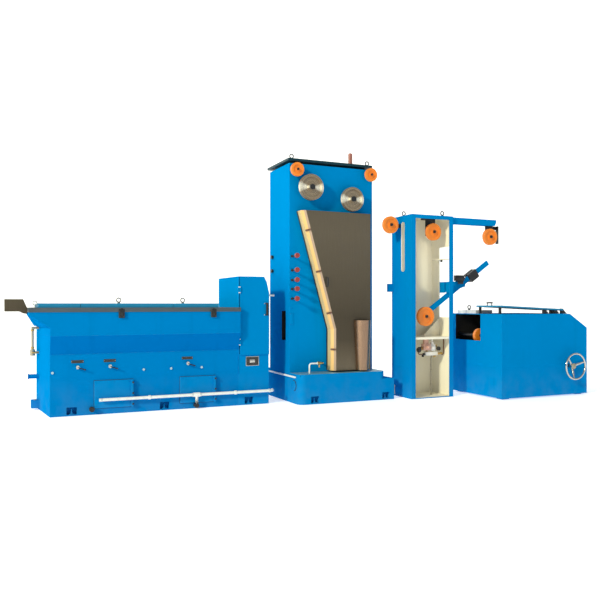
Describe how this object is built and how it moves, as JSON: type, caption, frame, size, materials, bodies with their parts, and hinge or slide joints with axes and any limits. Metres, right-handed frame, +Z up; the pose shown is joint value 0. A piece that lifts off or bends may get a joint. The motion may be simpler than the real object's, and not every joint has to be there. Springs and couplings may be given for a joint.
{
  "type": "wire drawing machine line",
  "caption": "Wire drawing line: slip drawing machine with a lidded trough, tall annealer tower, dancer column with swinging arm, and take-up cabinet, standing in a row.",
  "frame": {"origin": "middle of the line's footprint, at floor level", "axes": "+X along the wire's way from the drawing machine to the take-up, +Y from the front towards the back, +Z up"},
  "size_m": [8.918, 2.347, 3.938],
  "materials": {
    "machine_blue": "semi-gloss enamel",
    "lid_blue": "semi-gloss enamel, weathered",
    "column_cream": "semi-gloss enamel",
    "stainless": "brushed",
    "roof_dark": "matt enamel",
    "sheave_orange": "satin enamel",
    "black_steel": "satin black",
    "bright_steel": "turned",
    "galvanised": "galvanised pipe",
    "copper_tone": "brushed, warm reflections",
    "knob_red": "moulded",
    "lamp_red": "moulded",
    "plate_black": "bare plate",
    "chrome": "polished",
    "dull_steel": "oiled"
  },
  "bodies": {
    "root": {"draw_tank": "machine_blue", "tank_rim": "stainless", "die_holders": "dull_steel", "capstan_housing": "machine_blue", "drawing_capstans": "bright_steel", "wire_exit_tube": "galvanised", "access_covers": "machine_blue", "label_plates": "plate_black", "lever_valves": "black_steel", "rim_latches": "black_steel", "coolant_pipe": "galvanised", "inlet_guide_box": "stainless", "draw_base": "machine_blue", "annealer_plinth": "machine_blue", "annealer_tower": "machine_blue", "roof_plate": "roof_dark", "signal_lamp": "lamp_red", "cover_frame": "stainless", "hinge_ears": "black_steel", "lower_annealing_set": "dull_steel", "flow_valves": "knob_red", "blanking_caps": "black_steel", "end_pipe": "galvanised", "tower_pipework": "galvanised", "dancer_column": "machine_blue", "column_shelf": "column_cream", "boom": "machine_blue", "column_brackets": "black_steel", "pivot_bracket": "machine_blue", "air_unit": "machine_blue", "takeup_housing": "machine_blue", "slot_frame": "galvanised", "lifting_eyes": "black_steel", "guard_stays": "black_steel", "spool": "bright_steel", "spindles": "bright_steel"},
    "lid_left": {"lid_left": "lid_blue"},
    "lid_middle": {"lid_middle": "lid_blue", "eye_middle": "black_steel"},
    "lid_right": {"lid_right": "lid_blue", "eye_right": "black_steel"},
    "capstan_door": {"capstan_door": "machine_blue", "door_handle": "black_steel"},
    "annealer_cover": {"annealer_cover": "stainless", "cover_can": "copper_tone", "cover_clamps": "black_steel"},
    "contact_sheave_left": {"contact_sheave_left": "bright_steel"},
    "contact_sheave_right": {"contact_sheave_right": "bright_steel"},
    "guide_sheave_left": {"guide_sheave_left": "sheave_orange"},
    "guide_sheave_right": {"guide_sheave_right": "sheave_orange"},
    "entry_sheave": {"entry_sheave": "sheave_orange"},
    "inner_sheave": {"inner_sheave": "sheave_orange"},
    "boom_sheave": {"boom_sheave": "sheave_orange"},
    "dancer_arm": {"dancer_arm": "machine_blue", "arm_fittings": "black_steel"},
    "dancer_sheave": {"dancer_sheave": "sheave_orange"},
    "guard_lid": {"guard_lid": "lid_blue", "guard_handle": "black_steel"},
    "entry_roller": {"entry_roller": "sheave_orange"},
    "handwheel": {"handwheel": "chrome"}
  },
  "joints": [
    {"name": "lid_left_hinge", "type": "hinge", "parent": "root", "child": "lid_left", "pos_m": [-4.056, 1.1455, 1.4673], "axis": [-1, 0, 0], "range_deg": [0, 95]},
    {"name": "lid_middle_hinge", "type": "hinge", "parent": "root", "child": "lid_middle", "pos_m": [-3.52465, 1.1455, 1.4673], "axis": [-1, 0, 0], "range_deg": [0, 95]},
    {"name": "lid_right_hinge", "type": "hinge", "parent": "root", "child": "lid_right", "pos_m": [-2.27408, 1.1455, 1.4673], "axis": [-1, 0, 0], "range_deg": [0, 95]},
    {"name": "capstan_door_hinge", "type": "hinge", "parent": "root", "child": "capstan_door", "pos_m": [-1.259, 0.1322, 1.717], "axis": [0, 0, -1], "range_deg": [0, 95]},
    {"name": "annealer_cover_hinge", "type": "hinge", "parent": "root", "child": "annealer_cover", "pos_m": [0.869, 0.1052, 1.7], "axis": [0, 0, 1], "range_deg": [0, 95]},
    {"name": "contact_sheave_left_spin", "type": "hinge", "parent": "root", "child": "contact_sheave_left", "pos_m": [-0.145, 0.0315, 3.304], "axis": [0, 1, 0], "continuous": true},
    {"name": "contact_sheave_right_spin", "type": "hinge", "parent": "root", "child": "contact_sheave_right", "pos_m": [0.572, 0.0315, 3.163], "axis": [0, 1, 0], "continuous": true},
    {"name": "guide_sheave_left_spin", "type": "hinge", "parent": "root", "child": "guide_sheave_left", "pos_m": [-0.359, 0.0745, 3.57], "axis": [0, 1, 0], "continuous": true},
    {"name": "guide_sheave_right_spin", "type": "hinge", "parent": "root", "child": "guide_sheave_right", "pos_m": [0.935, 0.0745, 3.587], "axis": [0, 1, 0], "continuous": true},
    {"name": "entry_sheave_spin", "type": "hinge", "parent": "root", "child": "entry_sheave", "pos_m": [1.191, -0.1015, 2.775], "axis": [0, 1, 0], "continuous": true},
    {"name": "inner_sheave_spin", "type": "hinge", "parent": "root", "child": "inner_sheave", "pos_m": [1.924, -0.2295, 2.682], "axis": [0, 1, 0], "continuous": true},
    {"name": "boom_sheave_spin", "type": "hinge", "parent": "root", "child": "boom_sheave", "pos_m": [3.024, -0.2965, 2.64], "axis": [0, 1, 0], "continuous": true},
    {"name": "dancer_arm_swing", "type": "hinge", "parent": "root", "child": "dancer_arm", "pos_m": [2.564, -0.1365, 1.846], "axis": [0, 1, 0], "range_deg": [-12, 24]},
    {"name": "dancer_sheave_spin", "type": "hinge", "parent": "dancer_arm", "child": "dancer_sheave", "pos_m": [1.773, -0.2295, 1.307], "axis": [0, 1, 0], "continuous": true},
    {"name": "guard_lid_hinge", "type": "hinge", "parent": "root", "child": "guard_lid", "pos_m": [4.054, -0.9565, 1.4103], "axis": [0, 1, 0], "range_deg": [0, 75]},
    {"name": "entry_roller_spin", "type": "hinge", "parent": "root", "child": "entry_roller", "pos_m": [2.794, -0.3165, 0.985], "axis": [0, 1, 0], "continuous": true},
    {"name": "handwheel_spin", "type": "hinge", "parent": "root", "child": "handwheel", "pos_m": [4.061, -1.0885, 0.49], "axis": [0, 1, 0], "continuous": true}
  ]
}
